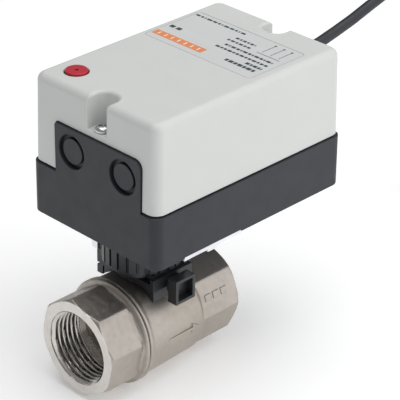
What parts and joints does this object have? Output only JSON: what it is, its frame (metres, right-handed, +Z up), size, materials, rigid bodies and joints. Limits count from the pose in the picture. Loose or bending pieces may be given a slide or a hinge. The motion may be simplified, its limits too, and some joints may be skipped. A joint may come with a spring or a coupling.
{
  "type": "motorised ball valve",
  "caption": "Straight-through DN25 ball valve with female threaded ports and a clip-on electric rotary actuator with release button and cable.",
  "frame": {"origin": "centre of the ball, where the pipe axis and the valve stem's axis cross", "axes": "+Z up along the stem towards the actuator, +Y along the pipe towards the rear port and the cable, -Y towards the front port"},
  "size_m": [0.0909, 0.3091, 0.1347],
  "materials": {
    "nickel_plated_brass": "nickel plated, satin cast and turned",
    "chromed_brass": "hard chromed and polished",
    "bright_steel": "bright zinc plated",
    "galvanised_steel": "galvanised sheet",
    "white_ptfe": "smooth PTFE",
    "black_rubber": "moulded rubber",
    "black_nylon": "moulded nylon",
    "anthracite_plastic": "fine textured moulding",
    "light_grey_plastic": "fine textured moulding",
    "silver_label": "silver foil label",
    "red_plastic": "moulded, slightly glossy",
    "natural_nylon": "natural nylon",
    "motor_can": "drawn steel can",
    "circuit_board_green": "solder mask",
    "terminal_plastic": "moulded",
    "capacitor_yellow": "moulded",
    "black_pvc": "PVC sheath",
    "brown_pvc": "PVC core insulation",
    "blue_pvc": "PVC core insulation"
  },
  "bodies": {
    "housing": {"valve_body": "nickel_plated_brass", "end_retainer": "nickel_plated_brass", "seat_ring_front": "white_ptfe", "seat_ring_rear": "white_ptfe", "body_gasket": "white_ptfe", "stem_thrust_washer": "white_ptfe", "adapter_collar": "black_nylon", "adapter_saddle": "black_nylon", "mounting_plate": "galvanised_steel", "plate_screw_left": "bright_steel", "plate_screw_right": "bright_steel", "base_housing": "anthracite_plastic", "cover": "light_grey_plastic", "cover_screw_front": "bright_steel", "cover_screw_rear": "bright_steel", "label": "silver_label", "clutch_axle": "bright_steel", "clutch_spring": "bright_steel", "gear_deck": "galvanised_steel", "motor_body": "motor_can", "motor_screw_front": "bright_steel", "motor_screw_rear": "bright_steel", "end_switch_open": "black_nylon", "end_switch_closed": "black_nylon", "circuit_board": "circuit_board_green", "terminal_block": "terminal_plastic", "run_capacitor": "capacitor_yellow", "cable_bush": "black_rubber", "cable_inner_end": "black_pvc", "cable_run": "black_pvc", "cable_coil": "black_pvc", "cable_tie": "black_nylon", "cable_tail": "black_pvc", "core_brown": "brown_pvc", "core_blue": "blue_pvc", "core_black": "black_nylon", "ferrule_brown": "bright_steel", "ferrule_blue": "bright_steel", "ferrule_black": "bright_steel"},
    "ball_drive": {"ball": "chromed_brass", "stem": "bright_steel", "stem_o_ring_lower": "black_rubber", "stem_o_ring_upper": "black_rubber", "drive_shaft": "bright_steel", "drive_gear": "natural_nylon", "cam_closed": "natural_nylon", "cam_open": "natural_nylon"},
    "release": {"release_button": "red_plastic"},
    "clutch": {"clutch_gear": "natural_nylon"},
    "motor_rotor": {"motor_pinion": "bright_steel"},
    "fork": {"lock_fork": "black_nylon"},
    "plunger_open": {"switch_plunger_open": "natural_nylon"},
    "plunger_closed": {"switch_plunger_closed": "natural_nylon"}
  },
  "joints": [
    {"name": "ball_turn", "type": "hinge", "parent": "housing", "child": "ball_drive", "pos_m": [0, 0, 0], "axis": [0, 0, 1], "range_deg": [0, 90]},
    {"name": "release_press", "type": "slide", "parent": "housing", "child": "release", "axis": [0, 0, -1], "range_m": [0, 0.0034], "stiffness_N_per_m": 300, "springref_m": -0.002, "deforming": ["clutch_spring"]},
    {"name": "clutch_spin", "type": "hinge", "parent": "release", "child": "clutch", "pos_m": [-0.02311, -0.01396, 0.06], "axis": [0, 0, 1], "range_deg": [-452, 2]},
    {"name": "motor_spin", "type": "hinge", "parent": "housing", "child": "motor_rotor", "pos_m": [-0.02311, -0.00146, 0.065], "axis": [0, 0, 1], "range_deg": [-5, 1805]},
    {"name": "fork_pull", "type": "slide", "parent": "housing", "child": "fork", "axis": [1, 0, 0], "range_m": [0, 0.008]},
    {"name": "switch_open_press", "type": "slide", "parent": "housing", "child": "plunger_open", "axis": [1, 0, 0], "range_m": [0, 0.0008], "stiffness_N_per_m": 200, "springref_m": -0.0005},
    {"name": "switch_closed_press", "type": "slide", "parent": "housing", "child": "plunger_closed", "axis": [0, 1, 0], "range_m": [0, 0.0008], "stiffness_N_per_m": 200, "springref_m": -0.0005}
  ],
  "couplings": [
    {"joint": "clutch_spin", "follows": "ball_turn", "ratio": -5},
    {"joint": "motor_spin", "follows": "ball_turn", "ratio": 20}
  ]
}
